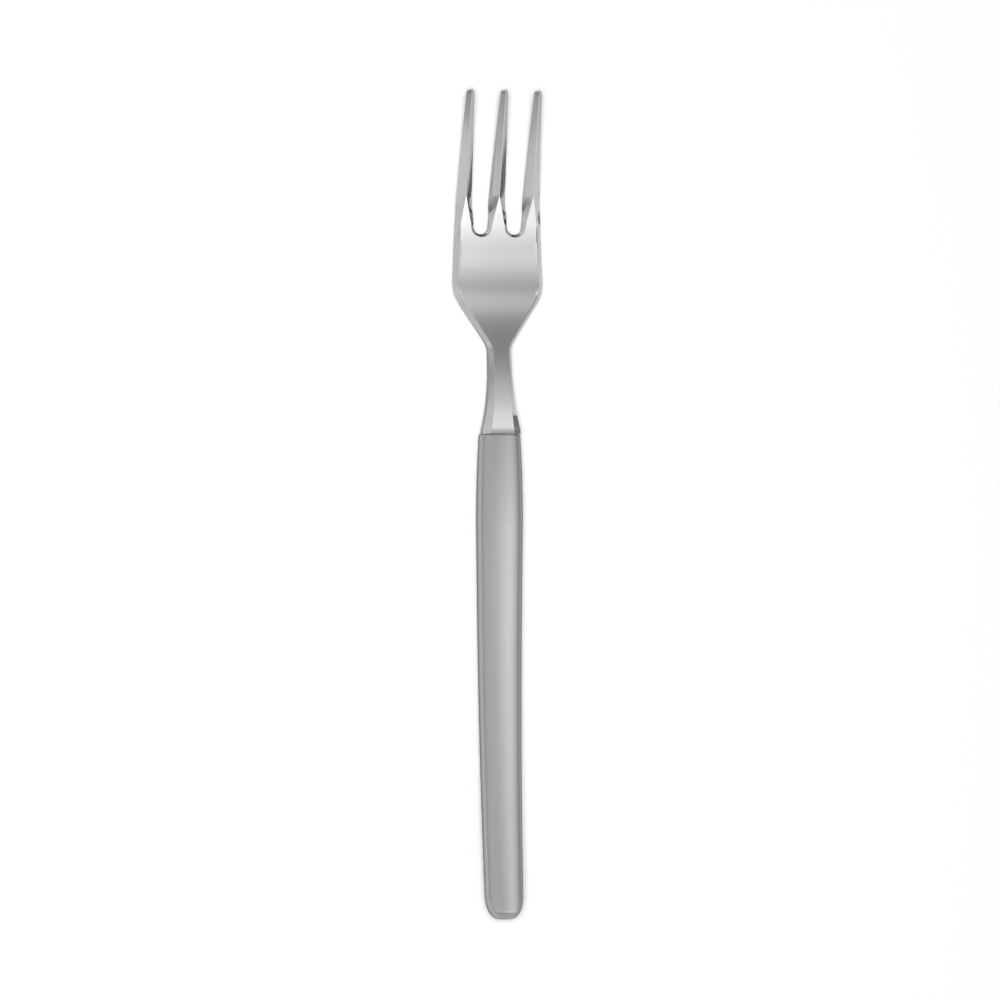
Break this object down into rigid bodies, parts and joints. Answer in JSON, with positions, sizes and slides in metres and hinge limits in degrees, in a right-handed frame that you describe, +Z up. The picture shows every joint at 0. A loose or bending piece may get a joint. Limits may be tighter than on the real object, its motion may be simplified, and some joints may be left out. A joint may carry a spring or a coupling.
{
  "type": "cocktail fork",
  "caption": "Small cocktail fork with slender pointed tines, a mirror-polished head and neck, and a satin hollow handle with a gentle upward sweep",
  "frame": {"origin": "on the table under the middle of the fork's box", "axes": "X is the width of the fork, +Y runs from the butt of the handle to the tips of the tines, +Z is up, out of the hollow front of the bowl"},
  "size_m": [0.017, 0.15, 0.0081],
  "materials": {
    "polished_steel": "mirror polished stainless steel",
    "satin_steel": "satin stainless steel",
    "cement": "poured cutler's cement"
  },
  "bodies": {
    "root": {"fork_head": "polished_steel", "handle_front_shell": "satin_steel", "handle_back_shell": "satin_steel", "tang_cement": "cement"}
  },
  "joints": []
}
